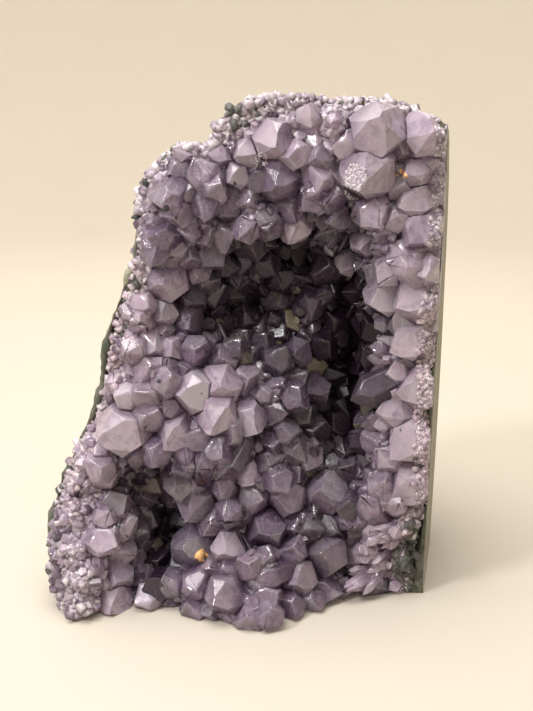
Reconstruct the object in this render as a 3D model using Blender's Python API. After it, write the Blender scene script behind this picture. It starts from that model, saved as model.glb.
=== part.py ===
"""A free-standing amethyst geode, sawn flat on its right side and under its base.

Three nested layers stand one inside the other, as in the rock: a basalt matrix with its rind, a layer of
pale quartz that lines it, and the amethyst bed with its hollows. The largest crystals are separate solids
that sit in sockets in the bed, and the smaller ones are grown into the bed.

Lengths in this file are millimetres, written out at MM metres each. X runs to the right, seen from the
front, Y runs back into the rock and Z runs up from the base.
"""

import math
import random

import bmesh
import bpy
import numpy as np
from mathutils import Matrix, Vector, noise

MM = 0.001

# The saw cuts.
SAWN_SIDE = 49.0
SAWN_BASE = 0.0

# The broken front edge of the rock, seen from the front, before the saw: x, z, and how wide the
# rind and the quartz behind it show there.
RIM = [
    (-34, -48, 24.0, 8.0),
    (-58, -16, 5.0, 9.0),
    (-64, 12, 1.8, 9.0),
    (-64, 24, 1.8, 8.0),
    (-60, 38, 1.6, 6.0),
    (-53, 52, 1.6, 5.0),
    (-48, 66, 2.0, 5.0),
    (-47, 80, 3.2, 5.0),
    (-42, 94, 2.4, 4.5),
    (-37, 106, 1.8, 4.5),
    (-36, 119, 1.8, 4.0),
    (-32, 129, 1.6, 3.5),
    (-24, 136, 1.4, 3.0),
    (-17, 136, 1.6, 3.5),
    (-12, 143, 1.8, 4.0),
    (-5, 148.5, 1.8, 4.0),
    (6, 149.5, 1.8, 3.5),
    (18, 148, 1.6, 3.0),
    (31, 148, 1.4, 3.0),
    (41, 145, 1.8, 3.0),
    (52, 138, 7.0, 3.0),
    (68, 122, 24.0, 3.0),
    (79, 94, 33.0, 3.0),
    (82, 60, 34.6, 3.0),
    (80, 20, 36.0, 3.0),
    (74, -20, 45.0, 3.5),
    (58, -46, 40.0, 4.0),
    (12, -54, 36.0, 8.0),
]
RIM_POINTS = 60
CORE = Vector((8.0, 62.0))  # the layers close in on this place towards the back

# The rim leans back as it rises and runs back towards the right.
RIM_DEPTH = -7.0
RIM_PER_X = 0.20
RIM_PER_Z = 0.05

# How far back each surface reaches, and how it turns there: 1 is a cone, 2 an ellipse and more is squarer.
MATRIX_BACK = 57.0
MATRIX_HOLLOW_BACK = 47.5
QUARTZ_HOLLOW_BACK = 42.5
ROUNDNESS = 1.8
HOLLOW_ROUNDNESS = 2.0
LOFT_STEPS = (0.0, 0.2, 0.45, 0.68, 0.86, 0.96)
EVEN_REACH = 4  # the rim's bumps fade out towards the back
EVEN_RATE = 2.2
GAP = 0.35  # between layers, and round each crystal in its socket

# Swells towards the viewer (minus) and hollows away from them (plus) in the amethyst front:
# x, z, half width, half height, depth.
FRONT_SHAPE = {
    "left lobe": (-51, 12, 15, 24, -13),
    "base swell": (-4, 2, 20, 15, -15),
    "central hump": (-15, 58, 17, 17, -12),
    "left ledge": (-43, 51, 11, 9, -6),
    "lower pocket": (-34, 23, 11, 14, 27),
    "main hollow": (3, 80, 24, 33, 18),
    "arch hollow": (-13, 88, 11, 9, 18),
    "top hollow": (8, 102, 16, 9, 11),
    "side slot": (24, 66, 9, 30, 25),
    "middle mound": (4, 70, 9, 12, -4),
    "crown": (30, 136, 24, 13, -5),
    "foot arch": (24, 0, 9, 12, 8),
    "left shoulder": (-27, 122, 10, 14, -4),
}
FRONT_GRID = 6.0
BLOCK_BACK = 70.0
MOUTH_REACH = 40.0  # how far in front of the rim crystals can reach
FORWARDS = Vector((0, -1, 0))
DEEPEST_FRONT = 34.0  # the hollows stop short of the quartz

# Lumps on the natural back of the rock.
LUMP_HEIGHT = 4.2
LUMP_SIZE = 21.0
PIT_HEIGHT = 1.8
PIT_SIZE = 9.0
LUMP_RATE = 1.4

# Quartz ends in six rhombohedral faces, whose normals stand at this angle to the long axis.
RHOMB_ANGLE = math.radians(51.8)
ROOT_SHARE = 0.45  # of a crystal's width, buried in the bed
STOCK = 120.0

# The large crystals: x and z where each leaves the bed, its width, how far its tip stands out of the bed,
# how many degrees it points to the right and upwards, and how far it is turned about its own axis.
LARGE_CRYSTALS = {
    "crown_crystal": (30, 140, 15, 12, 10, 26, 10),
    "top_right_crystal": (42, 139, 12, 10, 22, 14, 35),
    "lantern_crystal": (28, 130, 15, 12, -6, -22, 0),
    "window_crystal": (2, 138, 11, 9, 16, -8, 20),
    "ridge_crystal": (12, 143, 8, 7, 4, 40, 5),
    "brow_crystal": (-5, 134, 8, 6, -14, 0, 40),
    "brow_crystal_left": (-13, 133, 6, 5, -22, 10, 15),
    "eye_crystal": (-8, 128, 8, 7, -8, -14, 15),
    "eye_crystal_inner": (4, 127, 12, 10, 2, -6, 50),
    "hanging_crystal": (7, 114, 10, 9, -10, -42, 25),
    "smoky_crystal": (19, 117, 9, 8, -8, -16, 5),
    "dark_crystal": (15, 133, 8, 6, -4, 4, 33),
    "side_crystal_top": (41, 129, 8, 7, -18, 4, 45),
    "side_crystal_upper": (41, 121, 11, 9, -24, -4, 20),
    "side_crystal": (43, 114, 13, 11, -14, -18, 50),
    "shoulder_crystal": (-22, 134, 7, 6, -16, 18, 12),
    "shoulder_crystal_low": (-23, 129, 8, 6, -10, 2, 22),
    "cheek_crystal": (-28, 98, 12, 10, 6, 4, 8),
    "cheek_crystal_low": (-30, 88, 9, 7, 14, -4, 30),
    "cheek_crystal_inner": (-21, 100, 8, 7, 18, -10, 48),
    "cheek_crystal_grey": (-25, 84, 11, 9, 24, 0, 12),
    "arch_crystal": (-14, 101, 9, 8, 10, -20, 36),
    "block_crystal": (20, 100, 10, 8, -18, -14, 30),
    "block_crystal_top": (27, 108, 9, 7, -10, -12, 3),
    "lilac_crystal": (34, 93, 12, 10, -26, -8, 12),
    "rose_crystal": (43, 93, 13, 11, -30, -4, 40),
    "rose_crystal_low": (42, 81, 11, 9, -46, -20, 18),
    "wall_crystal": (47, 67, 13, 11, -52, -4, 5),
    "wall_crystal_inner": (39, 58, 11, 9, -48, 10, 33),
    "wall_crystal_long": (45, 51, 15, 12, -44, -24, 50),
    "wall_crystal_low": (45, 38, 13, 11, -40, -22, 14),
    "foot_crystal_right": (33, 3, 11, 9, -46, 26, 28),
    "pale_crystal": (-19, 66, 12, 10, -10, 10, 0),
    "glass_crystal": (-13, 67, 12, 10, 16, 14, 35),
    "bright_crystal": (-13, 60, 12, 10, 4, -20, 16),
    "hook_crystal": (-5, 57, 11, 9, 34, -16, 44),
    "lip_crystal": (-24, 55, 10, 8, -8, -24, 22),
    "flake_crystal": (-38, 56, 15, 13, -22, -2, 9),
    "pale_lobe_crystal": (-46, 40, 9, 7, -4, 4, 38),
    "lobe_crystal": (-43, 9, 11, 9, 24, 10, 52),
    "lobe_crystal_foot": (-43, 3, 11, 9, 16, -12, 26),
    "pendant_crystal": (-19, 32, 13, 11, -10, -30, 6),
    "pendant_crystal_right": (-5, 40, 10, 8, 10, -14, 41),
    "cube_crystal": (-9, 18, 10, 9, 4, 12, 30),
    "pocket_crystal": (-20, 15, 14, 11, -8, 26, 15),
    "floor_crystal_violet": (2, 22, 13, 11, -6, 20, 47),
    "floor_crystal": (18, 31, 14, 12, -2, 28, 24),
    "floor_crystal_left": (7, 31, 12, 10, -10, 24, 3),
    "floor_crystal_low": (19, 13, 14, 12, 0, 26, 10),
    "foot_crystal": (12, 9, 12, 10, 6, 14, 18),
    "foot_crystal_left": (-8, 7, 12, 10, -6, 8, 33),
    "middle_crystal": (7, 73, 10, 8, 4, 10, 12),
    "middle_crystal_high": (0, 87, 10, 8, 8, 2, 27),
    "middle_crystal_grey": (12, 61, 11, 9, 2, 12, 49),
}

# The smaller crystals grown into the bed.
BED_SEED = 7
BED_TRIES = 5000
BED_WIDTHS = (6.5, 11.5)
BED_SPACING = 0.72  # of the mean width of two neighbours
LARGE_ROOM = 1.25  # the large crystals keep this much more room
NEAR_TIP = 0.7  # of a crystal's reach, where its other room is kept
BED_SPREAD = 16.0  # degrees that they lean away from square to the bed

COLOURS = {
    "basalt": ((0.17, 0.18, 0.15), 0.9),
    "quartz": ((0.72, 0.66, 0.67), 0.55),
    "amethyst": ((0.42, 0.32, 0.47), 0.25),
    "pale amethyst": ((0.62, 0.52, 0.64), 0.2),
}


# ---------------------------------------------------------------- the shape of the rock


def rim_depth(x, z):
    return RIM_DEPTH + RIM_PER_X * x + RIM_PER_Z * z


def front_depth(x, z):
    """How far back the amethyst bed's front lies at x, z."""
    depth = rim_depth(x, z)
    for mid_x, mid_z, half_width, half_height, reach in FRONT_SHAPE.values():
        depth += reach * math.exp(-(((x - mid_x) / half_width) ** 2) - ((z - mid_z) / half_height) ** 2)
    return min(depth, DEEPEST_FRONT)


def front_normal(x, z):
    """Straight out of the bed, towards the viewer."""
    step = 1.5
    across = (front_depth(x + step, z) - front_depth(x - step, z)) / (2 * step)
    up = (front_depth(x, z + step) - front_depth(x, z - step)) / (2 * step)
    return Vector((across, -1.0, up)).normalized()


def smooth_rim():
    """RIM_POINTS rows of x, z, rind and quartz, along a closed Catmull-Rom curve through RIM."""
    rows = []
    corners = [Vector(row) for row in np.array(RIM, float)]
    for step in range(RIM_POINTS):
        place = step * len(corners) / RIM_POINTS
        start, share = int(place), place - int(place)
        before, first, second, after = (corners[(start + k) % len(corners)] for k in (-1, 0, 1, 2))
        rows.append(
            0.5 * (
                2 * first
                + (second - before) * share
                + (2 * before - 5 * first + 4 * second - after) * share**2
                + (3 * first - before - 3 * second + after) * share**3
            )
        )
    return rows


def inset_rim(rim, rind=0.0, quartz=0.0, gap=0.0):
    """The rim moved in towards the core, past these shares of its rind and quartz and a gap."""
    moved = []
    for x, z, rind_width, quartz_width in rim:
        inwards = (CORE - Vector((x, z))).normalized()
        width = rind * rind_width + quartz * quartz_width + gap
        moved.append(Vector((x, z)) + inwards * width)
    return moved


def evened(outline):
    """The outline with its bumps averaged away."""
    even = []
    for k in range(len(outline)):
        near = [outline[(k + step) % len(outline)] for step in range(-EVEN_REACH, EVEN_REACH + 1)]
        even.append(sum(near, Vector((0, 0))) / len(near))
    return even


def loft_ring(outline, share, back, roundness=HOLLOW_ROUNDNESS):
    """One ring of a layer's surface: share runs from 0 at the rim to 1 at the back."""
    size = (1 - share**roundness) ** (1 / roundness)
    ring = []
    for corner, even in zip(outline, evened(outline)):
        place = CORE + (corner.lerp(even, min(1.0, EVEN_RATE * share)) - CORE) * size
        front = rim_depth(corner.x, corner.y)
        ring.append(Vector((place.x, front + (back - front) * share, place.y)))
    return ring


def roughened(ring, share):
    """A ring of the rock's natural outside, pushed out in lumps that start at the rim and grow behind it."""
    rough = []
    for point in ring:
        broad = noise.noise(point / LUMP_SIZE)
        fine = noise.noise(point / PIT_SIZE + Vector((9, 4, 2)))
        height = max(0.0, LUMP_HEIGHT * (0.5 + broad) + PIT_HEIGHT * fine)
        outwards = (point - Vector((CORE.x, 0.0, CORE.y))).normalized()
        rough.append(point + outwards * height * min(1.0, LUMP_RATE * share))
    return rough


# ---------------------------------------------------------------- meshes and objects


def new_object(name, mesh, collection=None):
    made = bpy.data.objects.new(name, mesh)
    (collection or bpy.context.scene.collection).objects.link(made)
    return made


def mesh_of(made, name):
    """The closed shape turned into a mesh, with its faces outwards and its millimetres made metres."""
    bmesh.ops.recalc_face_normals(made, faces=made.faces)
    if made.calc_volume(signed=True) < 0:
        bmesh.ops.reverse_faces(made, faces=made.faces)
    made.transform(Matrix.Scale(MM, 4))
    mesh = bpy.data.meshes.new(name)
    made.to_mesh(mesh)
    made.free()
    return mesh


def ring_mesh(name, rings):
    """A skin over rings of equal length, in order, closed at both ends."""
    made = bmesh.new()
    rows = [[made.verts.new(point) for point in ring] for ring in rings]
    for end in (rows[0], rows[-1]):
        middle = made.verts.new(sum((v.co for v in end), Vector()) / len(end))
        for k, corner in enumerate(end):
            made.faces.new((middle, corner, end[(k + 1) % len(end)]))
    for first, second in zip(rows, rows[1:]):
        # Neighbouring layers are split into triangles the same way, so that they don't meet.
        deep, near = (first, second) if first[0].co.y > second[0].co.y else (second, first)
        for k in range(len(deep)):
            after = (k + 1) % len(deep)
            made.faces.new((deep[k], deep[after], near[after]))
            made.faces.new((deep[k], near[after], near[k]))
    return mesh_of(made, name)


def helper(obj):
    """Marks a cutter, so that it is no part of the geode."""
    obj.hide_render = True
    obj.display_type = "WIRE"
    return obj


def block(name, low, high):
    made = bmesh.new()
    bmesh.ops.create_cube(made, size=1.0)
    for corner in made.verts:
        share = corner.co + Vector((0.5, 0.5, 0.5))
        corner.co = Vector(low[k] + (high[k] - low[k]) * share[k] for k in range(3))
    return helper(new_object(name, mesh_of(made, name)))


def boolean(obj, operation, other, solver="EXACT"):
    modifier = obj.modifiers.new(other.name, "BOOLEAN")
    modifier.operation = operation
    modifier.solver = solver
    if isinstance(other, bpy.types.Collection):
        modifier.operand_type = "COLLECTION"
        modifier.collection = other
    else:
        modifier.object = other


def settle(solids):
    """Applies the Booleans of every solid, and drops crumbs that they cut loose."""
    bpy.context.view_layer.update()
    graph = bpy.context.evaluated_depsgraph_get()
    meshes = [bpy.data.meshes.new_from_object(obj.evaluated_get(graph)) for obj in solids]
    for obj, mesh in zip(solids, meshes):
        obj.modifiers.clear()
        solid = bmesh.new()
        solid.from_mesh(mesh)
        bodies = bodies_of(solid)
        bmesh.ops.delete(solid, geom=[face for body in bodies[:-1] for face in body], context="FACES")
        solid.to_mesh(mesh)
        solid.free()
        obj.data = mesh


def bodies_of(solid):
    """The faces of each body, joined edge to edge, the smallest body first."""
    left = set(solid.faces)
    bodies = []
    while left:
        body, waiting = [], [left.pop()]
        while waiting:
            face = waiting.pop()
            body.append(face)
            for edge in face.edges:
                beside = [other for other in edge.link_faces if other in left]
                left.difference_update(beside)
                waiting.extend(beside)
        bodies.append(body)
    return sorted(bodies, key=len)


def centre(solids):
    """Moves the geode so that the middle of its base is at the origin."""
    corners = np.array([corner.co for obj in solids for corner in obj.data.vertices])
    middle = (corners.min(axis=0) + corners.max(axis=0)) / 2
    for obj in solids:
        obj.data.transform(Matrix.Translation((-middle[0], -middle[1], 0.0)))


def paint(obj, finish):
    colour, roughness = COLOURS[finish]
    material = bpy.data.materials.get(finish) or bpy.data.materials.new(finish)
    material.use_nodes = True
    shader = material.node_tree.nodes["Principled BSDF"]
    shader.inputs["Base Color"].default_value = (*colour, 1.0)
    shader.inputs["Roughness"].default_value = roughness
    shader.inputs["Metallic"].default_value = 0.0
    obj.data.materials.clear()
    obj.data.materials.append(material)


# ---------------------------------------------------------------- crystals


def crystal_planes(width, reach, seed):
    """The planes that bound a crystal along +Z: (normal, distance). Three of its end faces are larger."""
    dice = random.Random(seed)
    planes = []
    for side in range(6):
        angle = math.radians(60 * side)
        planes.append((Vector((math.cos(angle), math.sin(angle), 0)), width / 2 * dice.uniform(0.88, 1.06)))
    for side in range(6):
        angle = math.radians(60 * side)
        lift = dice.uniform(-0.03, 0.03) if side % 2 == 0 else dice.uniform(0.04, 0.2)
        normal = Vector(
            (
                math.cos(angle) * math.sin(RHOMB_ANGLE),
                math.sin(angle) * math.sin(RHOMB_ANGLE),
                math.cos(RHOMB_ANGLE),
            )
        )
        planes.append((normal, (reach + lift * width) * math.cos(RHOMB_ANGLE)))
    planes.append((Vector((0, 0, -1)), ROOT_SHARE * width))
    return planes


def cut_crystal(name, planes, place, grow=0.0):
    """A mesh of the space inside all the planes, moved out by grow, at a place."""
    made = bmesh.new()
    bmesh.ops.create_cube(made, size=STOCK)
    for normal, distance in planes:
        everything = made.verts[:] + made.edges[:] + made.faces[:]
        cut = bmesh.ops.bisect_plane(
            made, geom=everything, plane_co=normal * (distance + grow), plane_no=normal, clear_outer=True
        )
        loop = [part for part in cut["geom_cut"] if isinstance(part, bmesh.types.BMEdge)]
        if loop:
            bmesh.ops.contextual_create(made, geom=loop)
    made.transform(place)
    return mesh_of(made, name)


def stand(x, z, aim, turn):
    """The place of a crystal that leaves the bed at x, z and points along aim."""
    root = Vector((x, front_depth(x, z), z))
    upright = aim.to_track_quat("Z", "Y").to_matrix().to_4x4()
    return Matrix.Translation(root) @ upright @ Matrix.Rotation(math.radians(turn), 4, "Z")


def pointing(right, up):
    """A direction that many degrees to the right of, and above, straight at the viewer."""
    right, up = math.radians(right), math.radians(up)
    return Vector((math.sin(right) * math.cos(up), -math.cos(right) * math.cos(up), math.sin(up)))


# ---------------------------------------------------------------- the geode


def make_matrix(rim, side_saw, base_saw):
    outside = [
        roughened(loft_ring(inset_rim(rim), share, MATRIX_BACK, ROUNDNESS), share) for share in LOFT_STEPS
    ]
    inside = [loft_ring(inset_rim(rim, rind=1), share, MATRIX_HOLLOW_BACK) for share in LOFT_STEPS]
    return bowl("basalt_matrix", outside, inside, side_saw, base_saw)


def make_quartz(rim, side_saw, base_saw):
    outside = [loft_ring(inset_rim(rim, 1, 0, GAP), share, MATRIX_HOLLOW_BACK - GAP) for share in LOFT_STEPS]
    inside = [loft_ring(inset_rim(rim, 1, 1), share, QUARTZ_HOLLOW_BACK) for share in LOFT_STEPS]
    return bowl("quartz_layer", outside, inside, side_saw, base_saw)


def bowl(name, outside, inside, side_saw, base_saw):
    """A closed shell: the outside from back to rim, then the inside from rim to back."""
    made = new_object(name, ring_mesh(name, outside[::-1] + inside))
    boolean(made, "DIFFERENCE", side_saw)
    boolean(made, "DIFFERENCE", base_saw)
    return made


def make_room(rim, side_saw, base_saw):
    """A cutter that fills the hollow of the quartz and widens in front of the rim: no crystal leaves it."""
    outline = inset_rim(rim, 1, 1, GAP)
    rings = [loft_ring(outline, share, QUARTZ_HOLLOW_BACK - GAP) for share in LOFT_STEPS[::-1]]
    middle = Vector((CORE.x, 0.0, CORE.y))
    mouth = [point + FORWARDS for point in rings[-1]]
    rings.append(mouth)
    rings.append([point + (FORWARDS + (point - middle).normalized()) * MOUTH_REACH for point in mouth])
    room = helper(new_object("room", ring_mesh("room", rings)))
    boolean(room, "DIFFERENCE", side_saw)
    boolean(room, "DIFFERENCE", base_saw)
    return room


def front_block():
    """A block whose front is the bed's front, wider than the rim all round."""
    columns = np.arange(-75.0, 75.1, FRONT_GRID)
    levels = np.arange(-25.0, 165.1, FRONT_GRID)
    made = bmesh.new()
    front = [[made.verts.new((x, front_depth(x, z), z)) for x in columns] for z in levels]
    back = [[made.verts.new((x, BLOCK_BACK, z)) for x in columns] for z in levels]
    for sheet in (front, back):
        for low, high in zip(sheet, sheet[1:]):
            for k in range(len(columns) - 1):
                made.faces.new((low[k], low[k + 1], high[k + 1], high[k]))
    edges = [
        (front[0], back[0]),
        (front[-1], back[-1]),
        ([row[0] for row in front], [row[0] for row in back]),
        ([row[-1] for row in front], [row[-1] for row in back]),
    ]
    for near, far in edges:
        for k in range(len(near) - 1):
            made.faces.new((near[k], near[k + 1], far[k + 1], far[k]))
    return new_object("amethyst_bed", mesh_of(made, "amethyst_bed"))


def inside_outline(x, z, outline):
    """True if x, z is inside the closed outline."""
    inside = False
    for first, second in zip(outline, outline[1:] + outline[:1]):
        if (first.y > z) != (second.y > z):
            crossing = first.x + (z - first.y) * (second.x - first.x) / (second.y - first.y)
            inside ^= x < crossing
    return inside


def small_crystals(rim, collection):
    """Crystals over the rest of the bed, the largest first, none too near another."""
    dice = random.Random(BED_SEED)
    outline = inset_rim(rim, 1, 1, 0.5)
    taken = []
    for x, z, width, reach, right, up, turn in LARGE_CRYSTALS.values():
        root = Vector((x, front_depth(x, z), z))
        taken += [(root, width * LARGE_ROOM), (root + pointing(right, up) * reach * NEAR_TIP, width)]
    for attempt in range(BED_TRIES):
        x, z = dice.uniform(-62, SAWN_SIDE - 3), dice.uniform(1, 150)
        largest, smallest = BED_WIDTHS[1], BED_WIDTHS[0]
        width = largest - (largest - smallest) * attempt / BED_TRIES
        if not inside_outline(x, z, outline):
            continue
        place = Vector((x, front_depth(x, z), z))
        if any((place - other).length < BED_SPACING * (width + size) / 2 for other, size in taken):
            continue
        taken.append((place, width))
        sway = Vector((dice.gauss(0, 1), dice.gauss(0, 1), dice.gauss(0, 1))) * math.radians(BED_SPREAD)
        aim = (front_normal(x, z) + sway).normalized()
        reach = width * dice.uniform(0.45, 0.75)
        planes = crystal_planes(width, reach, attempt)
        name = f"bed_crystal_{len(collection.objects)}"
        mesh = cut_crystal(name, planes, stand(x, z, aim, dice.uniform(0, 60)))
        helper(new_object(name, mesh, collection))


def make_crystals(room, bed, sockets):
    """The large crystals, each cut back from those before it, and their sockets in the bed."""
    crystals = []
    made = []
    for seed, (name, (x, z, width, reach, right, up, turn)) in enumerate(LARGE_CRYSTALS.items()):
        planes = crystal_planes(width, reach, seed)
        place = stand(x, z, pointing(right, up), turn)
        crystal = new_object(name, cut_crystal(name, planes, place))
        boolean(crystal, "INTERSECT", room)
        for other, other_place, other_size in made:
            if (other_place - place.translation).length < other_size + width + reach:
                boolean(crystal, "DIFFERENCE", other)
        crystals.append(crystal)
        socket_name = "socket_" + name
        socket = helper(new_object(socket_name, cut_crystal(socket_name, planes, place, GAP), sockets))
        made.append((socket, place.translation, width + reach))
    boolean(bed, "DIFFERENCE", sockets, "MANIFOLD")
    return crystals


def build():
    for old in list(bpy.data.objects):
        bpy.data.objects.remove(old)
    grown, sockets = (bpy.data.collections.new(name) for name in ("grown_in", "sockets"))
    for collection in (grown, sockets):
        bpy.context.scene.collection.children.link(collection)
    rim = smooth_rim()
    side_saw = block("side_saw", (SAWN_SIDE, -90, -90), (SAWN_SIDE + 90, 120, 240))
    base_saw = block("base_saw", (-140, -90, SAWN_BASE - 90), (140, 120, SAWN_BASE))
    matrix = make_matrix(rim, side_saw, base_saw)
    quartz = make_quartz(rim, side_saw, base_saw)
    room = make_room(rim, side_saw, base_saw)
    bed = front_block()
    small_crystals(rim, grown)
    # EXACT empties the bed when this many crystals meet in it.
    boolean(bed, "UNION", grown, "MANIFOLD")
    boolean(bed, "INTERSECT", room, "MANIFOLD")
    crystals = make_crystals(room, bed, sockets)
    settle([matrix, quartz, bed, *crystals])
    centre([matrix, quartz, bed, *crystals])
    paint(matrix, "basalt")
    paint(quartz, "quartz")
    paint(bed, "amethyst")
    for crystal in crystals:
        paint(crystal, "pale amethyst")


build()
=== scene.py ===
import math
import random

import bmesh
import bpy
import numpy as np
from mathutils import Matrix, Vector, noise
from mathutils.bvhtree import BVHTree
from mathutils.kdtree import KDTree


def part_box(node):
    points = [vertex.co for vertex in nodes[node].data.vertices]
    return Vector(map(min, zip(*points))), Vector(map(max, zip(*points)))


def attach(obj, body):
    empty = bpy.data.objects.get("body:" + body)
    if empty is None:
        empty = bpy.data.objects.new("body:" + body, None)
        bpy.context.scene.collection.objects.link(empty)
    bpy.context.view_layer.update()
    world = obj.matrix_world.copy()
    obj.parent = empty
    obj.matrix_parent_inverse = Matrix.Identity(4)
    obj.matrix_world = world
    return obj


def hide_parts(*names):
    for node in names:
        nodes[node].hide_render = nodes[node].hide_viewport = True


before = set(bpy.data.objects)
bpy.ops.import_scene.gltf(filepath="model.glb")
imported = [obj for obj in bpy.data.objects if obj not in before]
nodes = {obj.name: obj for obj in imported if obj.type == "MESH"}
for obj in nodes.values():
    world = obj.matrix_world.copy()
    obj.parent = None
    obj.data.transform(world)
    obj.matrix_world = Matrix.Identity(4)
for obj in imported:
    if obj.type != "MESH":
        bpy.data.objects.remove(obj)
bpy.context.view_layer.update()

mm = 0.001
layers = ("basalt_matrix", "quartz_layer", "amethyst_bed")
largeCrystals = [name for name in nodes if name not in layers]
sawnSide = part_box("basalt_matrix")[1].x
sawnGap = 0.3 * mm  # small crystals end this far inside the two sawn planes
rim = {"depth": -21.0 * mm, "perX": 0.2, "perZ": 0.05}  # where the rock's open front lies, y from x and z


# shader expressions

class Flow:
    # a socket's value, which can be used in sums
    def __init__(self, finish, socket):
        self.finish = finish
        self.socket = socket

    def math(self, operation, other=None, swap=False):
        pair = (other, self) if swap else (self, other)
        return self.finish.node("Math", {"operation": operation}, {0: pair[0], 1: pair[1]})

    def __add__(self, other):
        return self.math("ADD", other)

    def __sub__(self, other):
        return self.math("SUBTRACT", other)

    def __rsub__(self, other):
        return self.math("SUBTRACT", other, swap=True)

    def __mul__(self, other):
        return self.math("MULTIPLY", other)

    def __pow__(self, other):
        return self.math("POWER", other)

    __radd__ = __add__
    __rmul__ = __mul__

    def between(self, low, high):
        # 0 at low, 1 at high, smooth in between; low may be above high
        settings = {"interpolation_type": "SMOOTHSTEP"}
        return self.finish.node("MapRange", settings, {"Value": self, "From Min": low, "From Max": high})


class Finish:
    # one material and the nodes in it
    def __init__(self, name, fixed):
        self.material = bpy.data.materials.new(name)
        self.material.use_nodes = True
        self.tree = self.material.node_tree
        self.shader = self.tree.nodes["Principled BSDF"]
        for socket, value in fixed.items():
            self.shader.inputs[socket].default_value = value
        self.place = self.node("TexCoord", out="Object")

    def node(self, kind, settings=None, values=None, out=0):
        made = self.tree.nodes.new("ShaderNode" + kind)
        for name, value in (settings or {}).items():
            if name == "stops":
                self.setStops(made.color_ramp, value)
            else:
                setattr(made, name, value)
        for key, value in (values or {}).items():
            if isinstance(value, Flow):
                self.tree.links.new(value.socket, made.inputs[key])
            elif value is not None:
                made.inputs[key].default_value = value
        return Flow(self, made.outputs[out])

    def setStops(self, ramp, stops):
        while len(ramp.elements) < len(stops):
            ramp.elements.new(0.5)
        for element, (place, colour) in zip(ramp.elements, stops):
            element.position = place
            element.color = (*colour, 1.0)

    def attribute(self, name, out="Fac"):
        return self.node("Attribute", {"attribute_name": name}, out=out)

    def noise(self, size, detail=3.0, rough=0.5, place=None, warp=0.0, out=0):
        # cloudy values from 0 to 1, with lumps about this many metres across
        values = {"Vector": place or self.place, "Scale": 1.0 / size, "Detail": detail,
                  "Roughness": rough, "Distortion": warp}
        return self.node("TexNoise", None, values, out)

    def cells(self, size, feature="F1", place=None, out="Distance"):
        values = {"Vector": place or self.place, "Scale": 1.0 / size}
        return self.node("TexVoronoi", {"feature": feature}, values, out)

    def axis(self, letter, place=None):
        return self.node("SeparateXYZ", values={"Vector": place or self.place}, out=letter)

    def stretch(self, scale):
        return self.node("Mapping", values={"Vector": self.place, "Scale": scale})

    def mix(self, first, second, share):
        colours = [value if isinstance(value, Flow) else (*value, 1.0) for value in (first, second)]
        values = {0: share, 6: colours[0], 7: colours[1]}
        return self.node("Mix", {"data_type": "RGBA"}, values, 2)

    def tint(self, first, second, share=1.0):
        colours = [value if isinstance(value, Flow) else (*value, 1.0) for value in (first, second)]
        values = {0: share, 6: colours[0], 7: colours[1]}
        return self.node("Mix", {"data_type": "RGBA", "blend_type": "MULTIPLY"}, values, 2)

    def bump(self, height, depth, strength=1.0, under=None):
        values = {"Height": height, "Distance": depth, "Strength": strength, "Normal": under}
        return self.node("Bump", values=values)

    def feed(self, socket, flow):
        self.tree.links.new(flow.socket, self.shader.inputs[socket])


# finishes

amethyst = {
    "pale": (0.80, 0.66, 0.83),
    "rose": (0.86, 0.67, 0.77),
    "lilac": (0.27, 0.165, 0.305),
    # painted shade: near-black for crystals deep in a hollow, partly their deeper purple
    "deep": (0.013, 0.0062, 0.012),
    "milk": (0.92, 0.77, 0.88),
    "cream": (0.30, 0.26, 0.17),
    "edge": (0.84, 0.77, 0.84),
    # painted highlight on the brightest random facets
    "bright": (0.88, 0.84, 0.90),
    "shadow": (0.50, 0.45, 0.53),
    # painted shade at crystal roots, between the crystals
    "root": (0.32, 0.25, 0.34),
    # the third value is for the shaded copy, used for crystals deep in painted shade
    "clear": (0.74, 0.60, 0.35),  # for most points, the pale ones and those deep inside
    "ior": 1.54,
    "gloss": 0.04,
    "veilSize": 2.4 * mm,
    "smokeSize": 3.2 * mm,
    "coreSize": 5.5 * mm,
    "crackSize": 4.5 * mm,
    "stripeSize": 0.5 * mm,
    "pitSize": 0.8 * mm,
    "waveSize": 4.0 * mm,
    "waveDepth": 0.4 * mm,
}


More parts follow.
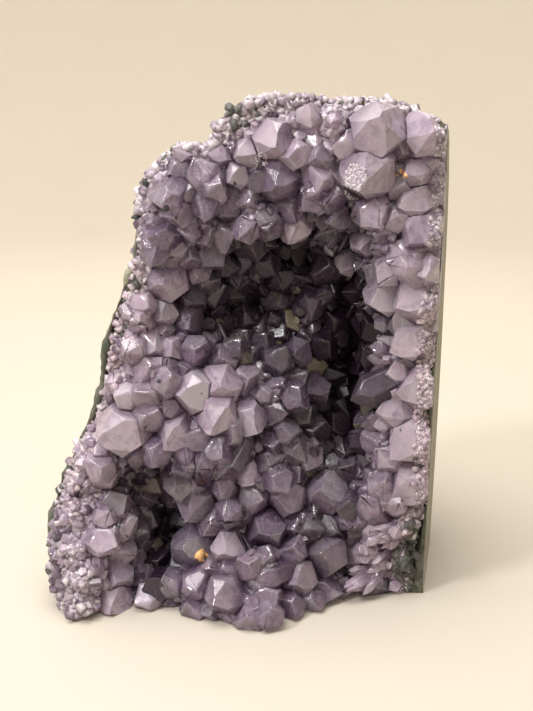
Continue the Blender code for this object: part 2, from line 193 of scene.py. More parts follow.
def amethystFinish(name, clear, shine=0.5):
    look = amethyst
    finish = Finish(name, {"IOR": look["ior"], "Transmission Weight": clear, "Specular IOR Level": shine})
    tone = finish.attribute("tone")
    growth = finish.attribute("growth")
    hollow = finish.attribute("hollow")
    edge = finish.attribute("edge")
    facet = finish.attribute("facet")
    white = finish.attribute("white")
    rose = finish.attribute("rose")
    cream = finish.attribute("cream")
    streaks = finish.node("Mapping", values={"Vector": finish.place, "Rotation": (0.5, 0.3, 0.8),
                                             "Scale": (1.0, 1.0, 0.35)})
    veils = finish.noise(look["veilSize"], 5.0, 0.65, place=streaks, warp=1.5).between(0.47, 0.66)
    smoke = finish.noise(look["smokeSize"], 4.0, 0.6, warp=0.8).between(0.62, 0.42)
    core = finish.noise(look["coreSize"], 3.0, 0.6, warp=1.0)
    bent = finish.node("VectorMath", {"operation": "MULTIPLY_ADD"}, {
        0: finish.noise(3 * mm, 2.0, out="Color"), 1: (2.2 * mm, 2.2 * mm, 2.2 * mm), 2: finish.place})
    cracks = finish.cells(look["crackSize"], "DISTANCE_TO_EDGE", bent).between(0.045, 0.0)
    # random tone and cloudy cores, with random per-facet painted shade
    shade = tone * 0.5 + core * 0.7 + facet * 0.5 - 0.35
    colour = finish.mix(finish.mix(look["pale"], look["rose"], rose), look["lilac"], shade.between(0.05, 0.9))
    colour = finish.mix(colour, look["milk"], white * 0.72)
    colour = finish.mix(colour, look["milk"], veils * 0.42 + cracks * 0.05)
    # pale facet edges, partly milky and partly a painted edge highlight
    rim = (edge * (core + 0.25)).between(0.25, 1.0)
    colour = finish.mix(colour, look["edge"], rim * 0.5)
    # painted shade on random facets, and darker in smoky patches
    colour = finish.tint(colour, finish.mix(look["shadow"], (1.0, 1.0, 1.0), facet * 0.9 + smoke * 0.5))
    # painted highlight: near-white on the brightest random facets
    colour = finish.mix(colour, look["bright"], facet.between(0.80, 0.90) * (veils * 0.4 + 0.35))
    # painted shade: darker towards each crystal's root, between the crystals
    colour = finish.tint(colour, look["root"], growth.between(0.70, 0.22) * (1 - white * 0.5))
    # mostly painted shade, partly the deeper purple of crystals inside: near-black from the hollow value
    colour = finish.mix(colour, look["deep"], 1 - (1 - hollow * (1 - rim * 0.06)) ** 1.8)
    colour = finish.mix(colour, look["cream"], cream * facet.between(0.3, 0.6) * 0.8)
    finish.feed("Base Color", colour)
    pits = finish.noise(look["pitSize"], 3.0)
    finish.feed("Roughness", look["gloss"] + veils * 0.15 + pits.between(0.5, 0.8) * 0.12 + hollow * 0.25)
    stripes = finish.noise(look["stripeSize"], 2.0, place=finish.stretch((1.0, 1.0, 0.25)))
    waves = finish.noise(look["waveSize"], 2.0, warp=0.4)
    height = waves * 0.4 + stripes * 0.12 + pits * 0.12
    finish.feed("Normal", finish.bump(height, look["waveDepth"], 0.5))
    return finish.material


sugarLook = {
    "pale": (0.74, 0.65, 0.71),
    "rose": (0.80, 0.62, 0.68),
    "lilac": (0.22, 0.15, 0.22),
    "bright": (0.86, 0.82, 0.83),
    "moss": ((0.020, 0.027, 0.018), (0.085, 0.095, 0.065)),
    "deep": (0.012, 0.009, 0.012),
    "clear": 0.4,
    "cloudSize": 2.5 * mm,
    "gritSize": 0.7 * mm,
    "gritDepth": 0.35 * mm,
}


def sugarFinish():
    look = sugarLook
    finish = Finish("sugaryQuartz", {"IOR": amethyst["ior"], "Transmission Weight": look["clear"]})
    tone = finish.attribute("tone")
    facet = finish.attribute("facet")
    green = finish.attribute("green")
    rose = finish.attribute("rose")
    hollow = finish.attribute("hollow")
    cloud = finish.noise(look["cloudSize"], 4.0, 0.6)
    # random tone and clouds, with random per-facet painted shade
    shade = (tone * 0.6 + facet * 0.6 + cloud * 0.5 - 0.35).between(0.15, 1.0)
    hue = finish.mix(finish.mix(look["pale"], look["rose"], rose), look["lilac"], shade)
    # painted highlight on random grain facets
    hue = finish.mix(hue, look["bright"], facet.between(0.30, 0.18) * 0.6)
    colour = finish.mix(hue, finish.mix(*look["moss"], facet), green)
    # painted shade: near-black where the grain sits in a hollow
    finish.feed("Base Color", finish.mix(colour, look["deep"], hollow))
    finish.feed("Roughness", 0.18 + cloud * 0.3 + green * 0.3)
    finish.feed("Normal", finish.bump(finish.noise(look["gritSize"], 4.0, 0.6), look["gritDepth"], 0.7))
    return finish.material


rock = {  # a pair of colours is mixed by cloudy lumps
    "rind": ((0.075, 0.082, 0.062), (0.19, 0.185, 0.145)),
    "rust": (0.17, 0.085, 0.038),
    "moss": (0.035, 0.055, 0.036),
    "chalk": (0.34, 0.325, 0.25),
    "specks": (0.42, 0.39, 0.33),
    "sawn": ((0.33, 0.305, 0.235), (0.235, 0.225, 0.175)),
    "sawnDark": (0.13, 0.13, 0.10),
    "sawnPale": (0.52, 0.49, 0.42),
    "patch": (-38 * mm, -20 * mm, 95 * mm),  # where the chalky patch is
    "patchSize": 19 * mm,
    "bumps": 0.9 * mm,
}


def rockFinish():
    look = rock
    finish = Finish("basaltRind", {"Specular IOR Level": 0.35})
    broad = finish.noise(18 * mm, 4.0, 0.6)
    fine = finish.noise(2.2 * mm, 5.0, 0.65)
    grain = finish.noise(0.7 * mm, 3.0, 0.6)
    rind = finish.mix(*look["rind"], (broad * 0.6 + fine * 0.5).between(0.35, 0.75))
    rust = finish.noise(11 * mm, 3.0, 0.7, warp=0.6).between(0.56, 0.70)
    rind = finish.mix(rind, look["rust"], rust * 0.55)
    moss = finish.noise(6 * mm, 4.0, 0.7).between(0.55, 0.68)
    rind = finish.mix(rind, look["moss"], moss * 0.7)
    away = finish.node("VectorMath", {"operation": "DISTANCE"}, {0: finish.place, 1: look["patch"]}, 1)
    chalk = (away + fine * 6 * mm).between(look["patchSize"], look["patchSize"] * 0.6)
    rind = finish.mix(rind, look["chalk"], chalk * 0.85)
    specks = finish.cells(2.4 * mm).between(0.16, 0.10)
    rind = finish.mix(rind, look["specks"], specks * 0.45)
    # the two sawn faces are paler, with the rock's grain showing
    across = finish.axis("X").between(sawnSide - 0.45 * mm, sawnSide - 0.15 * mm)
    under = finish.axis("Z").between(0.45 * mm, 0.15 * mm)
    sawn = across.math("MAXIMUM", under)
    dust = finish.mix(*look["sawn"], fine.between(0.35, 0.65))
    dust = finish.mix(dust, look["sawnDark"], finish.cells(1.9 * mm).between(0.20, 0.10) * 0.8)
    dust = finish.mix(dust, look["sawnPale"], finish.noise(1.1 * mm, 2.0).between(0.62, 0.72) * 0.6)
    colour = finish.mix(rind, dust, sawn)
    colour = finish.tint(colour, (0.72, 0.72, 0.72), finish.noise(30 * mm, 2.0).between(0.4, 0.7) * 0.6)
    finish.feed("Base Color", colour)
    finish.feed("Roughness", 0.92 - sawn * 0.22 - grain * 0.1)
    # the saw leaves faint arcs
    moved = finish.node("Mapping", values={"Vector": finish.place, "Location": (0, 0.3, -0.2)})
    arcs = finish.node("TexWave", {"wave_type": "RINGS", "rings_direction": "X"}, {
        "Vector": moved, "Scale": 260.0, "Distortion": 1.2, "Detail": 2.0, "Detail Scale": 2.0})
    height = fine * (1 - sawn * 0.85) + grain * 0.35 * (1 - sawn * 0.5) + arcs * sawn * 0.06
    finish.feed("Normal", finish.bump(height, look["bumps"], 0.8))
    return finish.material


band = {
    "pale": ((0.60, 0.55, 0.55), (0.40, 0.31, 0.37)),
    "frost": (0.78, 0.75, 0.72),
    "dark": (0.075, 0.085, 0.065),
    "clear": 0.1,
    "grainSize": 1.3 * mm,
    "bumps": 0.5 * mm,
}


def bandFinish():
    # the pale quartz that lines the rock
    look = band
    finish = Finish("paleQuartz", {"IOR": amethyst["ior"], "Transmission Weight": look["clear"]})
    grain = finish.axis("X", finish.cells(look["grainSize"], out="Color"))
    fine = finish.noise(1.0 * mm, 4.0, 0.6)
    broad = finish.noise(7 * mm, 3.0)
    colour = finish.mix(*look["pale"], broad.between(0.35, 0.7))
    colour = finish.mix(colour, look["frost"], fine.between(0.5, 0.7) * 0.7)
    colour = finish.tint(colour, finish.mix((0.75, 0.75, 0.75), (1, 1, 1), grain))
    dark = finish.noise(2.4 * mm, 4.0, 0.7).between(0.60, 0.66)
    colour = finish.mix(colour, look["dark"], dark * 0.8)
    finish.feed("Base Color", colour)
    finish.feed("Roughness", 0.35 + fine * 0.3)
    finish.feed("Normal", finish.bump(fine + grain * 0.4, look["bumps"], 0.7))
    return finish.material


def flakeFinish(name, colour, other, metal, rough):
    finish = Finish(name, {"Metallic": metal})
    share = finish.noise(0.6 * mm, 3.0).between(0.35, 0.65)
    finish.feed("Base Color", finish.mix(colour, other, share))
    finish.feed("Roughness", rough + share * 0.2)
    finish.feed("Normal", finish.bump(finish.noise(0.3 * mm, 3.0), 0.2 * mm, 0.8))
    return finish.material


# meshes

def readNode(name):
    # the node's corners and triangles
    mesh = nodes[name].data
    mesh.calc_loop_triangles()
    points = np.empty(len(mesh.vertices) * 3)
    mesh.vertices.foreach_get("co", points)
    faces = np.empty(len(mesh.loop_triangles) * 3, np.int32)
    mesh.loop_triangles.foreach_get("vertices", faces)
    return points.reshape(-1, 3), faces.reshape(-1, 3)


def addPiece(name, mesh, material, replaced=()):
    piece = bpy.data.objects.new(name, mesh)
    bpy.context.scene.collection.objects.link(piece)
    mesh.materials.append(material)
    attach(piece, "root")
    if replaced:
        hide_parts(*replaced)
    return piece


def store(mesh, name, values, domain="POINT"):
    layer = mesh.attributes.new(name, "FLOAT", domain)
    layer.data.foreach_set("value", np.asarray(values, np.float32))


# how the rock's front varies from place to place

def rimDepth(points):
    return rim["depth"] + rim["perX"] * points[..., 0] + rim["perZ"] * points[..., 2]


def smooth(values, low, high):
    share = np.clip((values - low) / (high - low), 0, 1)
    return share * share * (3 - 2 * share)


# how much painted shade a place gets, from its depth, from how little of the sky in front it sees and from
# the dark zones
hollowShading = {"from": 0 * mm, "to": 24 * mm, "start": 2 * mm, "reach": 45 * mm, "shut": (0.80, 0.22),
           "shares": (0.25, 0.35, 0.8)}
skyWays = [Vector((math.sin(turn) * math.cos(rise), -math.cos(turn) * math.cos(rise), math.sin(rise)))
           for rise in (-0.35, 0.0, 0.35, 0.75, 1.15) for turn in (-1.3, -0.8, -0.27, 0.27, 0.8, 1.3)]
zones = {
    # the dark zones are places given extra painted shade
    "dark": {
        "back": (9, 84, 17, 15, 0.48), "left": (-9, 88, 5, 6, 0.8), "arch": (4, 103, 15, 7, 0.75),
        "slot": (27.5, 70, 8.2, 32, 1.0), "slot top": (19, 97, 5.5, 8, 0.8), "pocket": (-25, 38, 7, 9, 0.7),
        "pocket foot": (-20, 16, 9, 4.5, 0.75), "floor": (17, 52, 14, 12, 0.34),
        "low floor": (4, 30, 22, 12, 0.14), "deep floor": (27, 30, 7, 10, 0.5)},
    "white": {
        "right wall": (50, 76, 11, 46, 1.0), "top": (13, 136, 24, 10, 1.0),
        "top left": (-14, 126, 12, 10, 0.3), "hump": (-4, 63, 13, 10, 0.95),
        "left": (-30, 77, 13, 27, 0.5), "low left": (-40, 28, 9, 28, 0.6),
        "foot": (24, 7, 28, 8, 0.3), "right top": (46, 128, 12, 18, 0.9), "low right": (46, 18, 9, 14, 0.9)},
    "rose": {
        "right wall": (52, 66, 9, 36, 1.0), "left": (-30, 80, 10, 22, 0.9),
        "low left": (-44, 45, 12, 16, 0.8), "window": (10, 136, 10, 8, 0.5),
        "foot": (44, 20, 10, 14, 0.9), "low": (4, 12, 14, 8, 0.6)},
    "grains": {
        "right edge": (57, 80, 4.4, 66, 1.0), "rosette": (49.0, 27.5, 5.0, 4.0, 1.0),
        "corner": (54.5, 12, 8.0, 15, 1.0)},
    "green": {
        "corner": (55.0, 11, 7.5, 15, 1.0), "crest": (-1, 146, 2.6, 2.6, 1.0), "skin": (-52, 25, 6, 22, 0.35),
        "ledge": (-33, 92, 6, 12, 0.4), "shoulder": (-28, 118, 6, 9, 0.3), "top": (20, 148, 14, 3, 0.04)},
}


def zoneAt(kind, spot):
    # the strongest of this kind's zones here
    most = 0.0
    for across, up, wide, high, amount in zones[kind].values():
        reach = math.hypot((spot[0] / mm - across) / wide, (spot[2] / mm - up) / high)
        most = max(most, amount * float(smooth(-reach, -1.35, -0.65)))
    return most


def openness(spot, tree):
    # how much of the sky in front can be seen from here
    starts = [Vector(spot) + way * hollowShading["start"] for way in skyWays]
    seen = sum(tree.ray_cast(start, way, hollowShading["reach"])[0] is None for start, way in zip(starts, skyWays))
    return seen / len(skyWays)


def hollowShadeAt(spot, tree):
    # painted shade: 0 in the open, 1 deep inside
    spot = np.asarray(spot)
    depth = smooth(spot[1] - rimDepth(spot), hollowShading["from"], hollowShading["to"])
    shut = smooth(-openness(spot, tree), -hollowShading["shut"][0], -hollowShading["shut"][1])
    byDepth, byShut, byZone = hollowShading["shares"]
    return float(np.clip(depth * byDepth + shut * byShut + zoneAt("dark", spot) * byZone, 0, 1))


def surfaceSamples(name, spacing, dice):
    # points spread evenly over a node, with the way each faces
    points, faces = readNode(name)
    corners = points[faces]
    cross = np.cross(corners[:, 1] - corners[:, 0], corners[:, 2] - corners[:, 0])
    area = np.linalg.norm(cross, axis=1) / 2
    count = int(area.sum() / spacing**2)
    picked = dice.choice(len(faces), count, p=area / area.sum())
    a, b = dice.random((2, count))
    flip = a + b > 1
    a[flip], b[flip] = 1 - a[flip], 1 - b[flip]
    chosen = corners[picked]
    sides = chosen[:, 1:] - chosen[:, :1]
    spots = chosen[:, 0] + a[:, None] * sides[:, 0] + b[:, None] * sides[:, 1]
    return spots, cross[picked] / (2 * area[picked][:, None] + 1e-12)


def treeOf(names):
    points, faces, start = [], [], 0
    for name in names:
        corners, triangles = readNode(name)
        points.append(corners)
        faces.append(triangles + start)
        start += len(corners)
    return BVHTree.FromPolygons(np.vstack(points).tolist(), np.vstack(faces).tolist())


def openSpots(spots, ways, tree, clear):
    # leaves out spots that face another solid closer than this, and the sawn planes
    kept = []
    for index, (spot, way) in enumerate(zip(spots, ways)):
        if spot[2] < 0.3 * mm or spot[0] > sawnSide - 0.3 * mm:
            continue
        start, heading = Vector(spot), Vector(way)
        if tree.ray_cast(start + heading * 0.03 * mm, heading, clear)[0] is None:
            kept.append(index)
    return spots[kept], ways[kept]


def evenWays(spots, ways, reach):
    # the way each spot faces, averaged over its surroundings
    tree = KDTree(len(spots))
    for index, spot in enumerate(spots):
        tree.insert(spot, index)
    tree.balance()
    even = np.empty_like(ways)
    for index, spot in enumerate(spots):
        near = [found[1] for found in tree.find_range(spot, reach)]
        mean = ways[near].sum(axis=0)
        even[index] = mean / (np.linalg.norm(mean) + 1e-9)
    return even


# crystals

rhombTilt = math.radians(51.8)  # the slope of a quartz point's tip faces
# the pale rim is partly milky and partly a painted edge highlight
paleRimHighlight = 0.085  # the pale rim of a facet, for a crystal one unit wide


def cutOff(made, way, distance):
    # removes what lies beyond the plane, and closes the cut
    cut = bmesh.ops.bisect_plane(made, geom=made.verts[:] + made.edges[:] + made.faces[:],
                                 plane_co=way * distance, plane_no=way, clear_outer=True)
    loop = [part for part in cut["geom_cut"] if isinstance(part, bmesh.types.BMEdge)]
    if loop:
        bmesh.ops.contextual_create(made, geom=loop)


def crystalShape(dice, chisel, bevel):
    # a quartz point one unit wide, with its tip near the origin and its root below
    made = bmesh.new()
    bmesh.ops.create_cube(made, size=8.0)
    planes = []
    for side in range(6):
        turn = math.radians(60 * side)
        planes.append((Vector((math.cos(turn), math.sin(turn), 0)), 0.5 * dice.uniform(0.82, 1.06)))
    for side in range(6):
        turn = math.radians(60 * side)
        lift = dice.uniform(-0.10, 0.03) if side % 2 == 0 else dice.uniform(-0.02, 0.24)
        if chisel and side == 0:
            lift = -dice.uniform(0.12, 0.3)
        way = Vector((math.cos(turn) * math.sin(rhombTilt), math.sin(turn) * math.sin(rhombTilt),
                      math.cos(rhombTilt)))
        planes.append((way, lift * math.cos(rhombTilt)))
    planes.append((Vector((0, 0, -1)), 1.7))
    for way, distance in planes:
        cutOff(made, way, distance)
    made.normal_update()
    return finishShape(made, bevel, paleRimHighlight if bevel else 0.0)


def grainShape(dice):
    # a broken grain one unit across
    made = bmesh.new()
    bmesh.ops.create_cube(made, size=1.0)
    for _ in range(6):
        way = Vector((dice.gauss(0, 1), dice.gauss(0, 1), dice.gauss(0, 1))).normalized()
        cutOff(made, way, dice.uniform(0.28, 0.5))
    stretch = Vector((dice.uniform(0.55, 1.1), dice.uniform(0.6, 1.1), dice.uniform(0.8, 1.7)))
    for corner in made.verts:
        corner.co = (corner.co - Vector((0, 0, 0.4))) * stretch
    made.normal_update()
    return finishShape(made, 0.0, 0.0)


def finishShape(made, bevel, soft):
    # rounds the edges, and marks how near each corner is to the edge of its facet, for the pale facet rim
    # that is partly a painted edge highlight
    if bevel:
        bmesh.ops.bevel(made, geom=made.edges[:], offset=bevel, segments=1, profile=0.5, affect="EDGES",
                        clamp_overlap=True)
    inner = set()
    if soft:
        wide = [face for face in made.faces
                if 2 * face.calc_area() / (face.calc_perimeter() + 1e-12) > 1.5 * soft]
        bmesh.ops.inset_individual(made, faces=wide, thickness=soft, use_even_offset=False)
        inner = {corner for face in wide for corner in face.verts}
    made.verts.index_update()
    corners = np.array([corner.co[:] for corner in made.verts])
    polygons = [[corner.index for corner in face.verts] for face in made.faces]
    edges = np.array([0.0 if corner in inner else 1.0 for corner in made.verts])
    facets = [tuple(round(part, 2) for part in face.normal) for face in made.faces]
    made.free()
    return corners, polygons, edges, facets


def joinCrystals(name, shapes, placed):
    # one mesh of many crystals: placed rows are (shape, turn, tip, width, root depth, values)
    corners, loops, starts, sizes, facetShades = [], [], [], [], []
    values = {}
    total, loopTotal = 0, 0
    dice = random.Random(name)
    for shape, turn, tip, width, growFrom, given in placed:
        points, polygons, edges, facets = shapes[shape]
        moved = (points * width) @ turn.T + tip
        np.clip(moved[:, 2], sawnGap, None, out=moved[:, 2])
        np.clip(moved[:, 0], None, sawnSide - sawnGap, out=moved[:, 0])
        corners.append(moved)
        growth = np.clip(1 + points[:, 2] * width / growFrom, 0, 1)
        for key, value in dict(given, growth=growth, edge=edges).items():
            values.setdefault(key, []).append(np.broadcast_to(value, len(points)))
        # each facet gets a random value for painted light and shade
        shadeOfFacet = {}
        for polygon, facet in zip(polygons, facets):
            starts.append(loopTotal)
            sizes.append(len(polygon))
            loops.extend(index + total for index in polygon)
            loopTotal += len(polygon)
            facetShades.append(shadeOfFacet.setdefault(facet, dice.random()))
        total += len(points)
    mesh = bpy.data.meshes.new(name)
    mesh.vertices.add(total)
    mesh.vertices.foreach_set("co", np.vstack(corners).ravel())
    mesh.loops.add(loopTotal)
    mesh.loops.foreach_set("vertex_index", loops)
    mesh.polygons.add(len(starts))
    mesh.polygons.foreach_set("loop_start", starts)
    mesh.polygons.foreach_set("loop_total", sizes)
    mesh.update(calc_edges=True)
    for key, value in values.items():
        store(mesh, key, np.concatenate(value))
    store(mesh, "facet", facetShades, "FACE")
    return mesh


def turnOf(aim, spin):
    return np.array((Vector(aim).to_track_quat("Z", "Y").to_matrix() @ Matrix.Rotation(spin, 3, "Z")))


# where the rim lies, and how wide its sugary quartz is

def rimLine():
    # points along the quartz band's front
    points, _ = readNode("quartz_layer")
    front = points[np.abs(points[:, 1] - rimDepth(points)) < 1.2 * mm]
    tree = KDTree(len(front))
    for index, point in enumerate(front):
        tree.insert((point[0], 0.0, point[2]), index)
    tree.balance()
    return tree


rimTree = rimLine()


def rimDistance(point):
    return rimTree.find((point[0], 0.0, point[2]))[2]


def sugarWidth(point):
    # how far in from the rim the sugary zone reaches
    left = smooth(-point[0], 10 * mm, 30 * mm)
    low = smooth(-point[2], -48 * mm, -25 * mm)
    top = smooth(point[2], 128 * mm, 142 * mm)
    return (3.6 + 0.8 * left + 7.5 * left * low + 4.0 * top) * mm


bedCrystals = {  # largest are placed first; spacing is for the large ones and for those under smallUnder
    "seed": 5,
    "samples": 1.15 * mm,
    "clear": 5 * mm,
    "widths": (9.6 * mm, 2.4 * mm),
    "sizeFall": 2.1,
    "spacing": (0.60, 0.50),
    "smallUnder": 5 * mm,
    "widestInSugar": 3.6 * mm,
    "lean": 0.46,
    "tries": 26000,
    "reach": (0.40, 0.95),
    "front": -46.5 * mm,
    "top": 150 * mm,
}


def scatterBed(tree):
    look = bedCrystals
    dice = np.random.default_rng(look["seed"])
    picker = random.Random(look["seed"])
    shapes = [crystalShape(picker, number % 4 == 3, 0.014) for number in range(20)]
    spots, ways = surfaceSamples("amethyst_bed", look["samples"], dice)
    spots, ways = openSpots(spots, ways, tree, look["clear"])
    even = evenWays(spots, ways, 6.5 * mm)
    print("bed spots", len(spots))
    centres = np.zeros((0, 3))
    widths = np.zeros(0)
    for name in largeCrystals:
        low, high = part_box(name)
        centres = np.vstack([centres, np.array((low + high) / 2)])
        widths = np.append(widths, max(high - low) * 0.72)
    order = dice.integers(0, len(spots), look["tries"])
    rows = []
    for attempt, index in enumerate(order):
        spot = spots[index]
        share = attempt / look["tries"]
        largest, smallest = look["widths"]
        width = smallest + (largest - smallest) * (1 - share) ** look["sizeFall"]
        distance = rimDistance(spot)
        inSugar = smooth(sugarWidth(spot) - distance, -2 * mm, 3 * mm)
        if width > (1 - inSugar) * 12 * mm + look["widestInSugar"]:
            continue
        atCorner = spot[0] > 38 * mm and spot[2] < 28 * mm
        if zoneAt("grains", spot) > 0.5 or (atCorner and width > look["smallUnder"]):
            continue
        gaps = np.linalg.norm(centres - spot, axis=1)
        close = look["spacing"][0] if width > look["smallUnder"] else look["spacing"][1]
        if np.any(gaps < close * (widths + width) / 2):
            continue
        centres = np.vstack([centres, spot])
        widths = np.append(widths, width)
        aim = even[index] + dice.normal(0, look["lean"], 3) + np.array((0, -0.15, 0.1))
        aim /= np.linalg.norm(aim)
        reach = width * dice.uniform(*look["reach"])
        hollow = hollowShadeAt(spot + aim * reach * 0.7, tree)
        tone = float(np.clip(dice.normal(0.5, 0.26), 0, 1))
        spread = zoneAt("white", spot) * dice.uniform(0.5, 1.2) + inSugar * 0.25
        white = float(np.clip(spread + (dice.random() < 0.06) * 0.5 * (1 - hollow), 0, 1))
        rose = zoneAt("rose", spot) * 0.8 + dice.uniform(0, 0.3)
        cream = float(dice.random() < 0.10) * dice.uniform(0.5, 1.0) * float(0.3 < hollow < 0.8)
        given = {"tone": tone, "hollow": hollow, "white": white, "cream": cream, "rose": rose}
        tip = spot + aim * reach
        if tip[1] < look["front"] or tip[2] > look["top"]:
            continue
        rows.append((picker.randrange(len(shapes)), turnOf(aim, dice.uniform(0, 2 * math.pi)), tip, width,
                     1.3 * width, given))
    print("bed crystals", len(rows))
    return shapes, rows


sugar = {
    "seed": 11,
    "samples": 0.6 * mm,
    "clear": 1.2 * mm,
    "widths": (2.3 * mm, 0.7 * mm),
    "edging": 46 * mm,
    "overRim": 6.5 * mm,
    "edgingWidth": 1.7 * mm,
    "spacing": 0.44,
    "lean": 0.6,
    "tries": 80000,
}


def scatterSugar(tree):
    look = sugar
    dice = np.random.default_rng(look["seed"])
    picker = random.Random(look["seed"])
    shapes = [crystalShape(picker, number % 2 == 1, 0.0) if number < 16 else grainShape(picker)
              for number in range(24)]
    allSpots, allWays, fromBed = [], [], []
    edging = [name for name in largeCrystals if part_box(name)[1].x > look["edging"]]
    for name in ["quartz_layer", "amethyst_bed", "basalt_matrix"] + edging:
        spots, ways = surfaceSamples(name, look["samples"], dice)
        if name == "basalt_matrix":
            near = (spots[:, 1] < rimDepth(spots) + look["overRim"]) & (spots[:, 2] > 116 * mm)
        elif name in edging:
            near = np.array([zoneAt("grains", spot) > 0.3 for spot in spots])
        else:
            near = np.array([rimDistance(spot) < 17 * mm for spot in spots])
        spots, ways = openSpots(spots[near], ways[near], tree, look["clear"])
        if len(spots) == 0:
            continue
        allSpots.append(spots)
        allWays.append(evenWays(spots, ways, 2.5 * mm))
        fromBed.append(np.full(len(spots), name not in ("quartz_layer", "basalt_matrix")))
    spots, ways, fromBed = np.vstack(allSpots), np.vstack(allWays), np.concatenate(fromBed)
    print("sugar spots", len(spots))
    grid = {}
    cell = look["widths"][0]
    rows = []
    for attempt, index in enumerate(dice.integers(0, len(spots), look["tries"])):
        spot = spots[index]
        width = look["widths"][0] + (look["widths"][1] - look["widths"][0]) * attempt / look["tries"]
        if fromBed[index]:
            inside = max(sugarWidth(spot) - rimDistance(spot), (zoneAt("grains", spot) - 0.5) * 8 * mm)
            if spot[0] > look["edging"] and spot[2] > 30 * mm:
                width = min(width, look["edgingWidth"] * dice.uniform(0.6, 1.0))
            if inside < dice.uniform(-1.0, 2.5) * mm:
                continue
        key = tuple((spot // cell).astype(int))
        near = [other for x in (-1, 0, 1) for y in (-1, 0, 1) for z in (-1, 0, 1)
                for other in grid.get((key[0] + x, key[1] + y, key[2] + z), ())]
        if any(np.linalg.norm(spot - other) < look["spacing"] * (width + size) / 2 for other, size in near):
            continue
        grid.setdefault(key, []).append((spot, width))
        aim = ways[index] + dice.normal(0, look["lean"], 3)
        aim /= np.linalg.norm(aim)
        tip = spot + aim * width * dice.uniform(0.05, 0.5)
        atRim = float(smooth(-rimDistance(spot), -7 * mm, -2.5 * mm)) if spot[0] < 40 * mm else 1.0
        mossy = dice.random() < 0.015 + zoneAt("green", spot) * atRim
        tone = float(np.clip(dice.normal(0.42, 0.3), 0, 1))
        given = {"tone": tone, "green": mossy * dice.uniform(0.75, 1.0), "hollow": hollowShadeAt(tip, tree) * 0.6,
                 "rose": zoneAt("rose", spot) * 0.8 + dice.uniform(0, 0.2)}
        rows.append((picker.randrange(len(shapes)), turnOf(aim, dice.uniform(0, 2 * math.pi)), tip, width,
                     1.2 * width, given))
    print("sugar crystals", len(rows))
    return shapes, rows


blades = {
    "seed": 21,
    "count": 20,
    "roots": ((45.5, 22), (44, 15), (42, 8)),  # across and up, mm
    "spread": 2.6,
    "aim": (-0.80, -0.50, -0.32),
    "lean": 0.24,
    "widths": (2.2 * mm, 4.2 * mm),
    "reach": (1.7, 2.6),
}


def makeBlades(tree):
    # long thin points that fan out above the lower right corner
    look = blades
    dice = np.random.default_rng(look["seed"])
    picker = random.Random(look["seed"])
    shapes = []
    for number in range(8):
        points, *rest = crystalShape(picker, number % 2 == 0, 0.02)
        shapes.append((points * np.array((1.0, 0.7, 1.6)), *rest))
    rows = []
    for number in range(look["count"] * len(look["roots"])):
        middle = np.array(look["roots"][number % len(look["roots"])])
        across, up = middle + dice.uniform(-1, 1, 2) * look["spread"]
        found = tree.ray_cast(Vector((across * mm, -60 * mm, up * mm)), Vector((0, 1, 0)))[0]
        if found is None:
            continue
        root = np.array(found)
        aim = np.array(look["aim"]) + dice.normal(0, look["lean"], 3)
        aim /= np.linalg.norm(aim)
        width = dice.uniform(*look["widths"])
        tip = root + aim * width * dice.uniform(*look["reach"])
        given = {"tone": dice.uniform(0.1, 0.6), "hollow": 0.0, "white": dice.uniform(0.25, 0.8),
                 "cream": 0.0, "rose": dice.uniform(0.5, 1.0)}
        rows.append((picker.randrange(len(shapes)), turnOf(aim, dice.uniform(0, 2 * math.pi)), tip, width,
                     2.5 * width, given))
    return shapes, rows


# small grains that sit on the crystals: across, up and size in mm
inclusions = {
    "darkSpecks": [
        (1.4, 128.3, 1.25), (0.2, 66.0, 1.15), (-20.4, 69.4, 1.0), (-24.9, 55.2, 0.8), (50.4, 59.0, 0.9),
        (46.2, 53.4, 0.8), (15.4, 63.2, 0.9), (-8.6, 66.5, 0.7), (30.2, 20.5, 0.7), (-36.0, 47.0, 0.9),
        (-17.0, 118.6, 1.6), (-14.6, 116.8, 1.3)],
    "goldFlecks": [
        (48.0, 134.2, 1.9), (46.9, 133.2, 1.2), (48.9, 132.7, 1.0), (-9.8, 14.9, 2.6), (-8.2, 14.6, 1.9),
        (-11.0, 14.2, 1.4), (-9.2, 13.2, 1.3)],
}
grainAim = {"way": Vector((-0.198, 0.930, -0.309)).normalized(), "through": -25 * mm, "from": 60 * mm}
frost = {  # patches of white grains: across, up, half width and half height in mm, and how many
    "seed": 8,
    "patches": ((34.8, 130.6, 2.8, 4.2, 260), (9.0, 135.2, 1.8, 2.0, 90)),
    "grain": (0.35, 0.85),
}


def frostPlaces():
    dice = random.Random(frost["seed"])
    places = []
    for across, up, wide, high, count in frost["patches"]:
        for _ in range(count):
            turn, share = dice.uniform(0, 2 * math.pi), math.sqrt(dice.random())
            places.append((across + wide * share * math.cos(turn), up + high * share * math.sin(turn),
                           dice.uniform(*frost["grain"])))
    return places


def makeGrains(name, places, tree, material):
    picker = random.Random(len(name))
    shapes = [grainShape(picker) for _ in range(6)]
    rows = []
    for across, up, size in places:
        through = Vector((across * mm, grainAim["through"], up * mm))
        found, normal, _, _ = tree.ray_cast(through - grainAim["way"] * grainAim["from"], grainAim["way"])
        if found is None:
            continue
        spin = turnOf(normal, picker.uniform(0, 2 * math.pi))
        width = size * mm
        shape = picker.randrange(len(shapes))
        given = {"tone": picker.random() * 0.2, "green": 0.0, "hollow": 0.0, "rose": 0.0}
        rows.append((shape, spin, np.array(found + normal * width * 0.25), width, width, given))
    addPiece(name, joinCrystals(name, shapes, rows), material)


